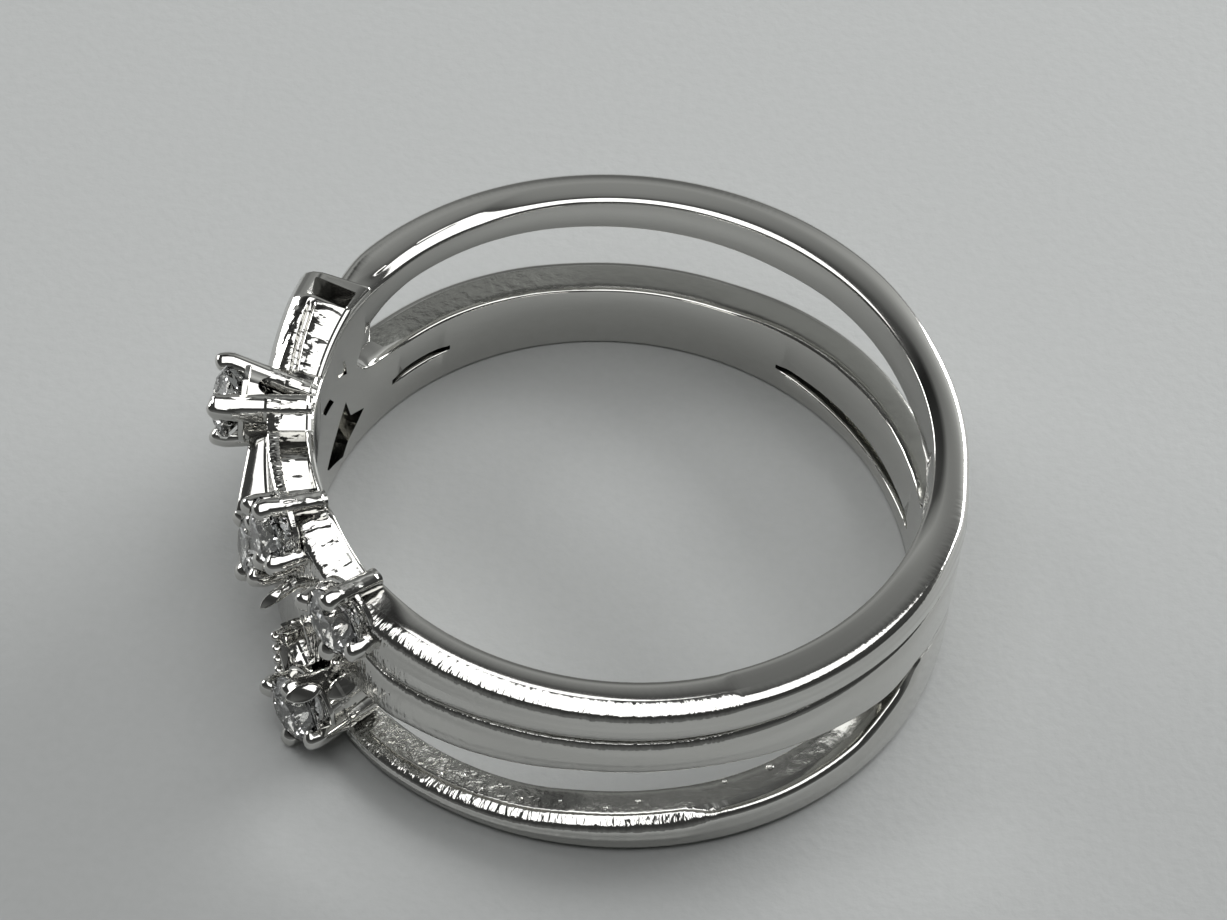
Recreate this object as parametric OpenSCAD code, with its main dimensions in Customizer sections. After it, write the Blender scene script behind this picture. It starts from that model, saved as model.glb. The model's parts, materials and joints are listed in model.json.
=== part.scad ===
// Double row ring: three narrow bands that merge at the back and at the stone-set head.
// Millimetres. The bore runs along Z, the lower rim lies on z = 0, the head points to -X.

/* [Bands] */
// Inside diameter of the ring
bore_d = 16.5; // [16:0.1:17.2]
// Width of the ring along the finger
ring_w = 6; // [5.8:0.1:6.4]
// Wall of the rims, from the bore to the edge of the flat side face
rim_t = 0.82; // [0.7:0.01:0.95]
// Height of the bands' domed outside above the edge of the side face
dome_h = 0.42; // [0.2:0.01:0.5]
// Depth of the grooves where two bands run side by side
groove_h = 0.26; // [0.1:0.01:0.3]

/* [Head] */
// Wall of the head behind the settings
head_t = 1.12; // [1:0.01:1.3]
// Radial thickness of the box bar at the far end of the head
box_t = 2.1; // [1.9:0.01:2.2]
// Radial thickness of the recessed bar between the settings
link_t = 1.25; // [1.15:0.01:1.4]
// Width of the slanting bars
bar_w = 0.7; // [0.6:0.05:0.9]

/* [Settings] */
// Diameter of a round stone
stone_d = 2; // [1.8:0.05:2.1]
// Diameter of a prong
prong_d = 0.54; // [0.45:0.01:0.6]
// Distance from the stone's axis to a prong's axis, past the stone's radius
prong_out = 0.03; // [0:0.01:0.08]
// Clearance between a stone and its seat
seat_gap = 0.05; // [0.03:0.01:0.08]
// Height of the prong tips above the girdle
tip_h = 0.42; // [0.38:0.01:0.5]

/* [Hidden] */
$fn = 48;

bore_r = bore_d / 2;
mid_z = ring_w / 2;
// Inner side of the raw castings, cut back to the bore
raw_r = bore_r - 0.2;
head_r = bore_r + head_t;
step_a = 3;
silver = "silver";
clear = "lightcyan";

// Edges of the three bands round the ring, as heights above the middle plane
// columns: angle, top of lower band, bottom and top of middle band, bottom and top of upper band
EDGES = [
    [  0, -1.70, -1.20,  0.80,  1.20, 3.00],
    [  3, -1.80, -1.40,  0.40,  1.30, 3.00],
    [  6, -1.95, -1.60,  0.00,  1.33, 3.00],
    [ 12, -2.20, -2.00, -0.22,  1.36, 3.00],
    [ 21, -2.40, -2.10, -0.30,  1.42, 3.00],
    [ 27, -2.45, -2.08, -0.32,  1.52, 3.00],
    [ 33, -2.45, -2.05, -0.35,  1.63, 3.00],
    [ 42, -2.40, -2.05, -0.40,  1.73, 3.00],
    [ 51, -2.30, -2.05, -0.46,  1.77, 3.00],
    [ 60, -2.15, -2.00, -0.55,  1.75, 3.00],
    [ 75, -1.95, -1.80, -0.72,  1.80, 3.00],
    [ 99, -1.90, -1.75, -0.71,  1.89, 3.00],
    [114, -1.90, -1.75, -0.60,  1.98, 3.00],
    [129, -1.87, -1.70, -0.50,  2.02, 3.00],
    [138, -1.85, -1.62, -0.47,  2.02, 3.00],
    [144, -1.85, -1.65, -0.36,  1.93, 3.00],
    [150, -1.80, -1.60, -0.15,  1.70, 3.00],
    [153, -1.75, -1.55,  0.10,  1.48, 3.00],
    [156, -1.70, -1.50,  0.50,  0.70, 3.00],
    [159, -1.71, -1.51,  0.52,  0.72, 3.00],
    [171, -1.77, -1.55,  0.58,  0.80, 2.60],
    [177, -1.80, -1.57,  0.60,  0.84, 2.60],
    [183, -1.83, -1.59,  0.64,  0.88, 3.00],
    [216, -2.00, -1.70,  0.80,  1.10, 3.00],
    [219, -2.30, -1.55,  1.00,  1.25, 3.00],
    [222, -2.38, -0.95,  1.15,  1.35, 3.00],
    [228, -2.42, -0.40,  1.38,  1.50, 3.00],
    [234, -2.36, -0.37,  1.24,  1.36, 3.00],
    [240, -2.32, -0.22,  1.30,  1.42, 3.00],
    [249, -2.23, -0.05,  1.46,  1.58, 3.00],
    [258, -2.14,  0.16,  1.58,  1.70, 3.00],
    [270, -1.92,  0.42,  1.68,  1.80, 3.00],
    [285, -1.82,  0.48,  1.74,  1.86, 3.00],
    [300, -1.80,  0.32,  1.79,  1.91, 3.00],
    [312, -1.70,  0.08,  1.81,  1.93, 3.00],
    [318, -1.60, -0.10,  1.80,  1.92, 3.00],
    [324, -1.28, -0.24,  1.76,  1.88, 3.00],
    [330, -0.84, -0.13,  1.76,  1.88, 3.00],
    [333, -0.35, -0.10,  1.74,  1.86, 3.00],
    [345, -0.90, -0.40,  1.48,  1.66, 3.00],
    [360, -1.70, -1.20,  0.80,  1.20, 3.00]
];

// Outside of the bands round the ring
// columns: angle, share of the rim wall, share of the dome, share of the groove depth
OUTSIDE = [
    [  0, 0.84, 0.75, 0.1],
    [ 24, 0.80, 0.80, 0.2],
    [ 48, 0.95, 0.95, 0.6],
    [ 72, 1.00, 1.00, 1.0],
    [150, 1.00, 1.00, 1.0],
    [156, 1.10, 0.50, 0.0],
    [222, 1.10, 0.50, 0.0],
    [234, 1.00, 1.00, 0.8],
    [300, 1.00, 1.00, 1.0],
    [330, 1.05, 0.85, 0.6],
    [345, 1.10, 0.60, 0.1],
    [360, 0.84, 0.75, 0.1]
];

// Openings between the bands
// columns: first angle, last angle, band edge below (0 lower band, 2 middle band)
GAPS = [
    [  3, 156, 2],
    [219, 333, 0],
    [ 12,  60, 0],
    [129, 144, 0]
];

// Settings
// columns: angle, height at the tips, radius of the tips, height at the roots, spread at the roots,
//          turn of the prongs, lean of the stone
SETTINGS = [
    [179.0,  2.38, 11.05,  2.20, 0.50, 35,  0],
    [198.0,  0.40, 10.38,  0.30, 0.75,  0, -8],
    [204.6,  2.27, 10.30,  2.25, 0.80,  0,  0],
    [220.6, -1.70, 10.85, -2.05, 0.60,  0,  0],
    [224.3,  2.27, 10.12,  2.25, 0.80,  0,  0]
];

// Slanting bars with a ridged outside, set on the head's wall
// columns: first angle, height and radius, last angle, height and radius
BARS = [
    [181.0,  1.90,  9.95, 194.0,  1.00, 10.40],
    [207.3, -0.20, 10.10, 216.2, -1.45, 10.10]
];

// Corners of the pit in the top of the box bar. columns: radius, angle
PIT = [[9.80, 154.2], [8.50, 153.6], [8.45, 158.1], [9.72, 158.0]];
pit_low = [9.25, 154.1];

// Outline of the deep slot in the head's inner wall. columns: angle, height
SLOT = [
    [160.2, -0.35], [163.8, -0.96], [166.5, -1.35], [169.5, -1.80], [168.5, -2.00],
    [161.1, -2.60], [159.2, -2.25], [155.5, -1.96], [153.0, -1.66], [158.0, -1.25]
];
// Outlines of the two small pockets in the head's inner wall. columns: angle, height
POCKET_A = [[165.2, 1.98], [160.9, 1.50], [159.9, 0.81], [163.6, 1.20]];
POCKET_B = [[173.9, 1.34], [168.4, 1.06], [166.0, 0.56], [170.8, 0.75]];
// Middle angles used to lay the outlines flat
slot_a = 161;
pocket_a_a = 163;
pocket_b_a = 170;
slot_depth = 0.8;
pocket_depth = 0.5;

function column(table, i) = [for (row = table) [row[0], row[i]]];
function edge(a, i) = lookup(a, column(EDGES, i + 1));
function outside(a, i) = lookup(a, column(OUTSIDE, i));
// True where the opening above band edge i is cut through between a and the next section
function open_above(a, i) =
    len([for (g = GAPS) if (g[2] == i && a >= g[0] && a < g[1]) 1]) > 0;
// True at a section that bounds an opening above band edge i
function beside_gap(a, i) =
    len([for (g = GAPS) if (g[2] == i && a >= g[0] && a <= g[1]) 1]) > 0;

// Bands: one closed mesh of sections, each with the same points. A band has DOME_N points.
DOME = [0, 0.14, 0.5, 0.86, 1];
DOME_LIFT = [0, 0.62, 1, 0.62, 0];
DOME_N = len(DOME);
angles = [for (a = [0:step_a:360 - step_a]) a];
count = len(angles);

function rim_at(a) = bore_r + rim_t * outside(a, 1);
function crown_at(a) = rim_at(a) + dome_h * outside(a, 2);
// Radius where a band meets its neighbour: the free edge of an opening, or the groove
function meet_r(a, i) =
    beside_gap(a, i) ? rim_at(a) : crown_at(a) - groove_h * outside(a, 3);
// The six heights that bound the bands, from the lower rim to the upper rim
function heights(a) = [0, for (i = [0:4]) mid_z + edge(a, i)];
// Edge radii at those six heights
function radii(a) =
    [rim_at(a), meet_r(a, 0), meet_r(a, 0), meet_r(a, 2), meet_r(a, 2), rim_at(a)];

function polar(r, a, z) = [r * cos(a), r * sin(a), z];

function outer_points(a) =
    let (h = heights(a), r = radii(a), c = crown_at(a))
    [for (b = [0:2], k = [0:DOME_N - 1])
        let (t = DOME[k],
             base = r[2 * b] * (1 - t) + r[2 * b + 1] * t,
             z = h[2 * b] * (1 - t) + h[2 * b + 1] * t)
        polar(base + (c - base) * DOME_LIFT[k], a, z)];
function inner_points(a) =
    let (h = heights(a))
    [for (b = [0:5]) polar(raw_r, a, h[b])];

OUT_N = 3 * DOME_N;
SEC_N = OUT_N + 6;

// Index of outer point k or inner point k of section s
function o(s, k) = (s % count) * SEC_N + k;
function n(s, k) = (s % count) * SEC_N + OUT_N + k;
// Two triangles of a quad
function quad(p, q, r, s) = [[p, q, r], [p, r, s]];

// Faces between section s and the next one, flat triangles only
function section_faces(s) =
    let (a = angles[s], low = !open_above(a, 0), high = !open_above(a, 2), m = DOME_N)
    [
        for (b = [0:2], k = [0:m - 2]) let (j = b * m + k)
            each quad(o(s, j), o(s + 1, j), o(s + 1, j + 1), o(s, j + 1)),
        for (b = [0:2])
            each quad(n(s, 2 * b + 1), n(s + 1, 2 * b + 1), n(s + 1, 2 * b), n(s, 2 * b)),
        each quad(n(s, 0), n(s + 1, 0), o(s + 1, 0), o(s, 0)),
        each quad(o(s, 3 * m - 1), o(s + 1, 3 * m - 1), n(s + 1, 5), n(s, 5)),
        each joint_faces(s, low, m, 1),
        each joint_faces(s, high, 2 * m, 3)
    ];
// Between two bands: closed outside and inside, or the two side walls of an opening
function joint_faces(s, closed, k, i) =
    closed ?
        [each quad(o(s, k - 1), o(s + 1, k - 1), o(s + 1, k), o(s, k)),
         each quad(n(s, i + 1), n(s + 1, i + 1), n(s + 1, i), n(s, i))] :
        [each quad(o(s, k - 1), o(s + 1, k - 1), n(s + 1, i), n(s, i)),
         each quad(n(s, i + 1), n(s + 1, i + 1), o(s + 1, k), o(s, k))];
// End walls of the openings
function end_faces(g) =
    let (k = g[2] == 0 ? DOME_N : 2 * DOME_N, i = g[2] == 0 ? 1 : 3,
         s = g[0] / step_a, e = g[1] / step_a)
    [each quad(o(s, k - 1), n(s, i), n(s, i + 1), o(s, k)),
     each quad(o(e, k - 1), o(e, k), n(e, i + 1), n(e, i))];

module bands() {
    points = [for (a = angles) each concat(outer_points(a), inner_points(a))];
    faces = [for (s = [0:count - 1]) each section_faces(s), for (g = GAPS) each end_faces(g)];
    polyhedron(points = points, faces = [for (f = faces) [f[2], f[1], f[0]]], convexity = 12);
}

// Local frame of a setting: z is the distance from the bore's axis, x points down, y along the band
module facing(a) {
    translate([0, 0, mid_z]) rotate([0, 0, a]) rotate([0, 90, 0]) children();
}

// Straight round rod with a rounded end at q
module rod(p, q, d) {
    v = q - p;
    len_v = norm(v);
    tip = d * 0.3;
    translate(p) rotate([0, acos(v[2] / len_v), atan2(v[1], v[0])])
        rotate_extrude() polygon([[0, 0], [d / 2, 0], [d / 2, len_v - tip],
            [d * 0.42, len_v - tip * 0.4], [d * 0.25, len_v - tip * 0.08], [0, len_v]]);
}

stone_r = stone_d / 2;
prong_at = stone_r + prong_out;
pavilion_h = stone_d * 0.42;
crown_h = stone_d * 0.16;
table_r = stone_d * 0.29;
girdle_h = 0.06;

// Frame at the tips of a setting: z along the stone's axis
module at_tips(s) {
    facing(s[0]) translate([-s[1], 0, s[2]]) rotate([0, s[6], 0]) children();
}

// Tip of the prong that stands at angle u round the stone
function prong_tip(s, u) =
    [-s[1] - prong_at * sin(u) * cos(s[6]), prong_at * cos(u), s[2] + prong_at * sin(u) * sin(s[6])];
function prong_root(s, u) =
    [-s[3] - s[4] * prong_at * sin(u), s[4] * prong_at * cos(u), root_r];

root_r = bore_r + 0.12;
rail_h = 0.2;
rail_drop = 0.58;
// Depth of a basket from the tips, for the settings that stand clear of the wall
basket_drop = tip_h + rail_drop;

module rail() {
    translate([0, 0, -basket_drop]) difference() {
        cylinder(r = prong_at + 0.06, h = rail_h);
        translate([0, 0, -0.1]) cylinder(r = prong_at - 0.24, h = rail_h + 0.2);
    }
}

// Cup below the rail, with a window between each two prongs where it is tall enough
module basket(s) {
    tall = s[2] - basket_drop - bore_r;
    open_h = tall - 0.95;
    if (s[2] - basket_drop > head_r + 0.1) difference() {
        translate([0, 0, -basket_drop - tall + 0.1])
            cylinder(r1 = prong_at * s[4], r2 = prong_at, h = tall);
        if (open_h > 0.3) for (k = [0, 1]) rotate([0, 0, s[5] + 45 + 90 * k])
            translate([0, 0, -basket_drop - 0.18]) rotate([90, 0, 0])
                linear_extrude(4, center = true) polygon([[-0.22, 0], [0.22, 0], [0.4, -0.2],
                    [0.34, -open_h * 0.6], [0, -open_h], [-0.34, -open_h * 0.6], [-0.4, -0.2]]);
    }
}

module setting(s) {
    facing(s[0]) for (k = [0:3])
        rod(prong_root(s, s[5] + 90 * k), prong_tip(s, s[5] + 90 * k), prong_d);
    at_tips(s) {
        rail();
        basket(s);
    }
}

// Thick near prong of the far setting, which runs on over the band to the bore.
// Both ends: radius, angle, height above the middle plane
far_prong_d = 0.68;
FAR_PRONG = [[root_r, 181.8, 2.88], [11.08, 183.0, 2.93]];
module far_prong() {
    ends = [for (e = FAR_PRONG) polar(e[0], e[1], mid_z + e[2])];
    rod(ends[0], ends[1], far_prong_d);
}

// Room for a stone: its profile with the clearance all round, open above the table
module seat(s) {
    r = stone_r + seat_gap;
    t = table_r + seat_gap;
    at_tips(s) translate([0, 0, -tip_h]) rotate_extrude() polygon([
        [0, -pavilion_h - 2 * seat_gap], [r, -seat_gap], [r, girdle_h + seat_gap],
        [t, girdle_h + crown_h + seat_gap], [t, 2], [0, 2]]);
}

// Box bar at the far end of the head. Its outer wall comes closer to the bore towards the settings,
// because it is turned about a centre that lies box_shift behind the bore's axis.
box_a = 152.5;
box_span = 19.5;
box_shift = 1.3;
box_low = mid_z + 0.9;
box_top = ring_w + 0.1;
bevel_w = 0.4;
// End wall: a point on its inner face, its angle to the radius, and its thickness
end_at = [9.3, 153.1];
end_turn = 12.3;
end_t = 0.12;
pit_h = 0.6;
// Ridge beyond the pit, where the bar's top starts to fall
ridge_a = 158.3;
fall_a = 12.4;
module box_bar() {
    outer = bore_r + box_t;
    difference() {
        translate([box_shift * sin(box_a), -box_shift * cos(box_a), 0])
            rotate([0, 0, box_a]) rotate_extrude(angle = box_span)
                polygon([[raw_r, box_low], [outer - bevel_w / 2, box_low], [outer, box_low + bevel_w / 2],
                    [outer, box_top - 1.5 * bevel_w], [outer - bevel_w / 3, box_top - bevel_w / 2],
                    [outer - bevel_w, box_top], [raw_r, box_top]]);
        rotate([0, 0, end_at[1]]) translate([end_at[0], -end_t, 0]) rotate([0, 0, end_turn])
            translate([-box_t, -2 * box_t, box_low - 1]) cube([2 * box_t, 2 * box_t, ring_w]);
        rotate([0, 0, ridge_a]) translate([raw_r - 1, 0, box_top]) rotate([-fall_a, 0, 0])
            cube([box_t + 2, 2 * box_t, 1]);
    }
}
// Pit behind the end wall: a pyramid that stands on its tip and reaches above the bar
module box_recess() {
    low = polar(pit_low[0], pit_low[1], box_top - pit_h);
    reach = 1.15;
    corners = [for (c = PIT) low + reach * (polar(c[0], c[1], box_top) - low)];
    polyhedron(points = concat(corners, [low]),
        faces = [[0, 1, 2, 3], [1, 0, 4], [2, 1, 4], [3, 2, 4], [0, 3, 4]]);
}

// Recessed bar between the far and the upper setting
link_from = 184;
link_span = 20;
link_low = mid_z + 1.2;
link_rim = 0.22;
link_deep = 0.4;
recess_from = link_from + 4;
recess_span = 13;
module link_bar() {
    rotate([0, 0, link_from]) rotate_extrude(angle = link_span) translate([raw_r, link_low])
        square([bore_r + link_t - raw_r, ring_w + 0.04 - link_low]);
}
module link_recess() {
    rotate([0, 0, recess_from]) rotate_extrude(angle = recess_span)
        translate([bore_r + link_rim, ring_w - link_deep]) square([link_t - 2 * link_rim, 1]);
}

// One bar: its local x runs along it, y across it and z outwards
bar_depth = 1.2;
bar_edge = 0.25;
module slant_bar(b) {
    p = polar(b[2], b[0], mid_z + b[1]);
    q = polar(b[5], b[3], mid_z + b[4]);
    am = (b[0] + b[3]) / 2;
    v = q - p;
    along = norm(v);
    side = atan2(v[2], v[1] * cos(am) - v[0] * sin(am));
    w = bar_w / 2;
    multmatrix([
        [-sin(am) * cos(side), sin(am) * sin(side), cos(am), (p[0] + q[0]) / 2],
        [cos(am) * cos(side), -cos(am) * sin(side), sin(am), (p[1] + q[1]) / 2],
        [sin(side), cos(side), 0, (p[2] + q[2]) / 2],
        [0, 0, 0, 1]])
        translate([-along / 2, 0, 0]) rotate([90, 0, 90]) linear_extrude(along)
            polygon([[-w, -bar_depth], [w, -bar_depth], [w, -bar_edge], [w * 0.3, 0],
                [-w * 0.3, 0], [-w, -bar_edge]]);
}
// Rounded cap over the upper end of the lower bar
cap_a = 208;
module bar_cap() {
    facing(cap_a) rod([-0.75, 0, bore_r + 1], [-0.05, 0, bore_r + 2.1], prong_d * 0.85);
}

// Prism that cuts an outline of angles and heights into the wall from the bore side
module wall_cut(outline, a, depth) {
    facing(a) translate([0, 0, bore_r - 0.4]) linear_extrude(depth + 0.4)
        polygon([for (v = outline) [-v[1], bore_r * sin(v[0] - a)]]);
}

module ring_body() color(silver) difference() {
    union() {
        difference() {
            union() {
                bands();
                box_bar();
                link_bar();
            }
            box_recess();
            link_recess();
        }
        for (b = BARS) slant_bar(b);
        bar_cap();
        for (s = SETTINGS) setting(s);
        far_prong();
    }
    translate([0, 0, -1]) cylinder(r = bore_r, h = ring_w + 2, $fn = 120);
    wall_cut(SLOT, slot_a, slot_depth);
    wall_cut(POCKET_A, pocket_a_a, pocket_depth);
    wall_cut(POCKET_B, pocket_b_a, pocket_depth);
    for (s = SETTINGS) seat(s);
}

// Round brilliant: table, eight bezel and sixteen girdle facets above, eight main facets below
function ring_pts(r, z, n, turn) =
    [for (k = [0:n - 1]) let (a = turn + 360 * k / n) [r * cos(a), r * sin(a), z]];
module brilliant() {
    points = concat(
        ring_pts(table_r, girdle_h + crown_h, 8, 0),
        ring_pts((table_r + stone_r) / 2 * 1.03, girdle_h + crown_h * 0.56, 8, 22.5),
        ring_pts(stone_r, girdle_h, 16, 0),
        ring_pts(stone_r, 0, 16, 0),
        [[0, 0, -pavilion_h]]);
    kite = 8;
    upper = 16;
    lower = 32;
    culet = 48;
    faces = [
        [for (k = [7:-1:0]) k],
        for (k = [0:7]) let (j = (k + 1) % 8, g = 2 * k)
            each [[k, j, kite + k],
                [k, kite + k, upper + g], [j, upper + (g + 2) % 16, kite + k],
                [kite + k, upper + g + 1, upper + g], [kite + k, upper + (g + 2) % 16, upper + g + 1]],
        for (k = [0:15]) let (j = (k + 1) % 16)
            each [[upper + k, upper + j, lower + j], [upper + k, lower + j, lower + k],
                [lower + k, lower + j, culet]]
    ];
    polyhedron(points = points, faces = faces, convexity = 2);
}

module stone(i) color(clear) {
    s = SETTINGS[i];
    at_tips(s) translate([0, 0, -tip_h]) rotate([0, 0, s[5]]) brilliant();
}

ring_body();
stone(0);  // stone_far
stone(1);  // stone_middle
stone(2);  // stone_upper
stone(3);  // stone_lower
stone(4);  // stone_near
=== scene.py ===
"""Looks of the double row ring: polished cast silver, five cut stones, a pale floor and soft light."""
import json
import math
from collections import namedtuple
from contextlib import contextmanager

import bmesh
import bpy
import numpy as np
from mathutils import Matrix, Vector


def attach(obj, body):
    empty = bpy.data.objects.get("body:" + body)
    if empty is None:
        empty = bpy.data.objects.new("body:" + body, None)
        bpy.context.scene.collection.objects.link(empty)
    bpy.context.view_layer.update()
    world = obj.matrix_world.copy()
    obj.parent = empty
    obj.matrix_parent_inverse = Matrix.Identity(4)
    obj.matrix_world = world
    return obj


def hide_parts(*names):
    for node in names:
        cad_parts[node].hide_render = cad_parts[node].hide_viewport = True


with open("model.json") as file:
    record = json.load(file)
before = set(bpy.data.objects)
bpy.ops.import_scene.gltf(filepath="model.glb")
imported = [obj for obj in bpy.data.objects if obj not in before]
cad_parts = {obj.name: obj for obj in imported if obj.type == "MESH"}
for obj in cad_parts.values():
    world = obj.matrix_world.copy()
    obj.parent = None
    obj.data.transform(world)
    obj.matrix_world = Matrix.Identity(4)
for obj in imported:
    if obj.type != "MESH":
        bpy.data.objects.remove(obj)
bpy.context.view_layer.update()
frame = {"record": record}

# Driving dimensions, in millimetres. The bore runs along Z and the lower rim lies on z = 0.
MM = 0.001
BORE = next(m for m in frame["record"]["mounts"] if m["name"] == "finger_bore")["dims"]
BORE_R = BORE["r_mm"]
RING_W = BORE["length_mm"]
MID_Z = RING_W / 2
RIM_T = 0.82
DOME_H = 0.42
GROOVE_H = 0.26

# Heights of the band edges above the middle plane
# columns: angle, top of lower band, bottom and top of middle band, bottom and top of upper band
EDGES = [
    [0, -1.70, -1.20, 0.80, 1.20, 3.00],
    [3, -1.80, -1.40, 0.40, 1.30, 3.00],
    [6, -1.95, -1.60, 0.00, 1.33, 3.00],
    [12, -2.20, -2.00, -0.22, 1.36, 3.00],
    [21, -2.40, -2.10, -0.30, 1.42, 3.00],
    [27, -2.45, -2.08, -0.32, 1.52, 3.00],
    [33, -2.45, -2.05, -0.35, 1.63, 3.00],
    [42, -2.40, -2.05, -0.40, 1.73, 3.00],
    [51, -2.30, -2.05, -0.46, 1.77, 3.00],
    [60, -2.15, -2.00, -0.55, 1.75, 3.00],
    [75, -1.95, -1.80, -0.72, 1.80, 3.00],
    [99, -1.90, -1.75, -0.71, 1.89, 3.00],
    [114, -1.90, -1.75, -0.60, 1.98, 3.00],
    [129, -1.87, -1.70, -0.50, 2.02, 3.00],
    [138, -1.85, -1.62, -0.47, 2.02, 3.00],
    [144, -1.85, -1.65, -0.36, 1.93, 3.00],
    [150, -1.80, -1.60, -0.15, 1.70, 3.00],
    [153, -1.75, -1.55, 0.10, 1.48, 3.00],
    [156, -1.70, -1.50, 0.50, 0.70, 3.00],
    [159, -1.71, -1.51, 0.52, 0.72, 3.00],
    [171, -1.77, -1.55, 0.58, 0.80, 2.60],
    [177, -1.80, -1.57, 0.60, 0.84, 2.60],
    [183, -1.83, -1.59, 0.64, 0.88, 2.80],
    [190, -1.86, -1.61, 0.68, 0.92, 2.80],
    [204, -1.93, -1.66, 0.74, 1.02, 2.94],
    [207, -1.95, -1.67, 0.76, 1.04, 3.06],
    [216, -2.00, -1.70, 0.80, 1.10, 2.88],
    [219, -2.30, -1.55, 1.00, 1.25, 2.82],
    [222, -2.38, -0.95, 1.15, 1.35, 2.78],
    [225, -2.40, -0.65, 1.27, 1.43, 3.00],
    [228, -2.42, -0.40, 1.38, 1.50, 3.00],
    [234, -2.36, -0.37, 1.24, 1.36, 3.00],
    [240, -2.32, -0.22, 1.30, 1.42, 3.00],
    [249, -2.23, -0.05, 1.46, 1.58, 3.00],
    [258, -2.14, 0.16, 1.58, 1.70, 3.00],
    [270, -1.92, 0.42, 1.68, 1.80, 3.00],
    [285, -1.82, 0.48, 1.74, 1.86, 3.00],
    [300, -1.80, 0.32, 1.79, 1.91, 3.00],
    [312, -1.70, 0.08, 1.81, 1.93, 3.00],
    [318, -1.60, -0.10, 1.80, 1.92, 3.00],
    [324, -1.28, -0.24, 1.76, 1.88, 3.00],
    [330, -0.84, -0.13, 1.76, 1.88, 3.00],
    [333, -0.35, -0.10, 1.74, 1.86, 3.00],
    [345, -0.90, -0.40, 1.48, 1.66, 3.00],
    [360, -1.70, -1.20, 0.80, 1.20, 3.00],
]

# Outside of the bands. columns: angle, share of the rim wall, share of the dome, share of the groove,
# share of the upper rim's outward slope, roughness of the cut faces, share of the lower band's bevel,
# share of the upper rim's inward slope, share of its slanted plane, share of its dished top
OUTSIDE = [
    [0, 0.84, 0.75, 0.1, 0, 0.6, 0, 0, 0, 1],
    [24, 0.8, 0.8, 0.2, 0, 0.6, 0, 0, 0, 1],
    [48, 0.95, 0.95, 0.6, 0, 0.5, 0, 0.05, 0, 0.7],
    [72, 1, 1, 1, 0, 0.1, 0, 0.1, 0, 0.4],
    [95, 1, 1, 1, 0, 0.1, 0, 0.25, 0, 0],
    [112, 1, 1, 1, 0, 0.1, 0, 0.45, 0, 0],
    [124, 1, 1, 1, 0, 0.1, 0, 1.2, 0, 0],
    [144, 1, 1, 1, 0, 0.2, 0, 1.4, 0, 0],
    [153, 1.1, 0.5, 0, 0.2, 0.5, 0, 0.4, 0, 0],
    [170, 1.1, 0.5, 0, 0.6, 0.6, 0, 0, 0, 0],
    [204, 1.1, 0.5, 0, 1, 1, 0, 0, 0, 0],
    [207, 1.1, 0.5, 0, 0, 1, 0, 0, 1, 0],
    [222, 1.1, 0.5, 0, 0, 1, 0, 0, 1, 0],
    [227, 1.06, 0.7, 0.3, 0, 1, 1, 0, 1, 0],
    [236, 1, 1, 0.8, 1, 1, 1, 0, 0, 0],
    [250, 1, 1, 0.9, 1, 1, 1, 0, 0, 0],
    [264, 1, 1, 1, 1, 0.3, 1, 0, 0, 0],
    [281, 1, 1, 1, 0.9, 0.2, 1, 0, 0, 0],
    [285, 1, 1, 1, 0.9, 0.2, 1, 0, 0, 0],
    [291, 1, 1, 1, 0.8, 0.2, 0, 0, 0, 0],
    [293, 1, 1, 1, 0, 0.2, 0, 0, 0, 0],
    [300, 1, 1, 1, 0, 0.3, 0, 0, 0, 0],
    [330, 1.05, 0.85, 0.6, 0, 1, 0, 0, 0, 0.3],
    [345, 1.1, 0.6, 0.1, 0, 0.6, 0, 0, 0, 1],
    [360, 0.84, 0.75, 0.1, 0, 0.6, 0, 0, 0, 1],
]
# Columns of that table, after the angle
WALL, DOME, GROOVE, NEAR_SLOPE, ROUGH, BEVEL, FAR_SLOPE, PLANE, DISH = range(9)

# Openings between the bands. columns: first angle, last angle, joint (0 under the middle band, 1 over it)
GAPS = [[3, 156, 1], [219, 333, 0], [12, 60, 0], [129, 144, 0]]

# A setting: its angle, height and radius of its tips, height and spread of its roots, turn of its prongs
# and lean of its stone. Heights are above the middle plane.
Setting = namedtuple("Setting", "angle height radius root_height spread turn lean")
SETTINGS = {
    "far": Setting(179.0, 2.38, 11.05, 2.20, 0.50, 35, 0),
    "middle": Setting(198.0, 0.40, 10.38, 0.30, 0.75, 0, -8),
    "upper": Setting(204.6, 2.27, 10.30, 2.25, 0.80, 0, 0),
    "lower": Setting(220.6, -1.70, 10.85, -2.05, 0.60, 0, 0),
    "near": Setting(224.3, 2.27, 10.12, 2.25, 0.80, 0, 0),
}

# Outlines cut into the head's inner wall: depth, middle angle, then corners of angle and height
SLOTS = [
    (0.80, 161, [(160.2, -0.35), (163.8, -0.96), (166.5, -1.35), (169.5, -1.80), (168.5, -2.00),
                 (161.1, -2.60), (159.2, -2.25), (155.5, -1.96), (153.0, -1.66), (158.0, -1.25)]),
    (0.50, 163, [(165.2, 1.98), (160.9, 1.50), (159.9, 0.81), (163.6, 1.20)]),
    (0.50, 170, [(173.9, 1.34), (168.4, 1.06), (166.0, 0.56), (170.8, 0.75)]),
]
# Radius inside the bore at which the slots' cutters start
SLOT_IN = BORE_R - 0.4

# Stones, and the gap round them in their seats
STONE_D = 2.0
STONE_R = STONE_D / 2
GIRDLE_H = 0.06
CROWN_H = STONE_D * 0.16
PAVILION_H = STONE_D * 0.42
TABLE_SHARE = 0.58
SEAT_GAP = 0.05

# Prongs: diameter, power of their squared section, distance from the stone's axis, and height of the tips
# over the foot of the girdle
PRONG_D = 0.54
PRONG_POWER = 0.8
PRONG_AT = STONE_R + 0.03
TIP_H = 0.42
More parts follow.
